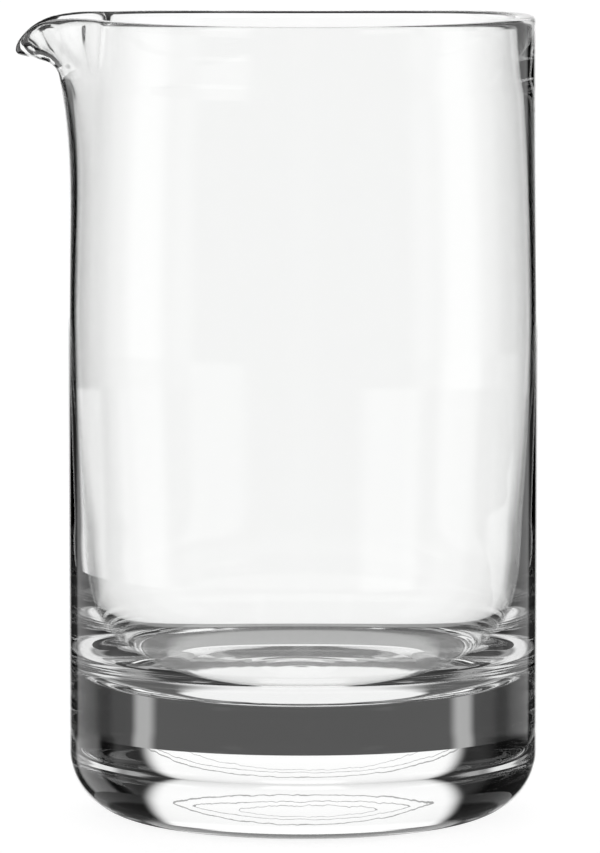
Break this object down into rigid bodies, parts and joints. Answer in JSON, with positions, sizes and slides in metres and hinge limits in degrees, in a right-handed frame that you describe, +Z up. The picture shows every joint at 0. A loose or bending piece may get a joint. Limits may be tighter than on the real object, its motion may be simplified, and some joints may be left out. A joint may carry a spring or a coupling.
{
  "type": "mixing glass",
  "caption": "Straight-sided clear glass with a thick rounded base, a deep open cavity and a short pouring spout at the rim, for stirring and pouring drinks.",
  "frame": {"origin": "centre of the underside, in the plane of the flat ring that the glass rests on, on the axis of the wall", "axes": "+Z up along the wall's axis to the mouth, -X from the axis towards the spout, XZ is the plane of symmetry"},
  "size_m": [0.0999, 0.09, 0.1535],
  "materials": {
    "clear_glass": "clear, polished"
  },
  "bodies": {
    "root": {"mixing_glass": "clear_glass"}
  },
  "joints": []
}
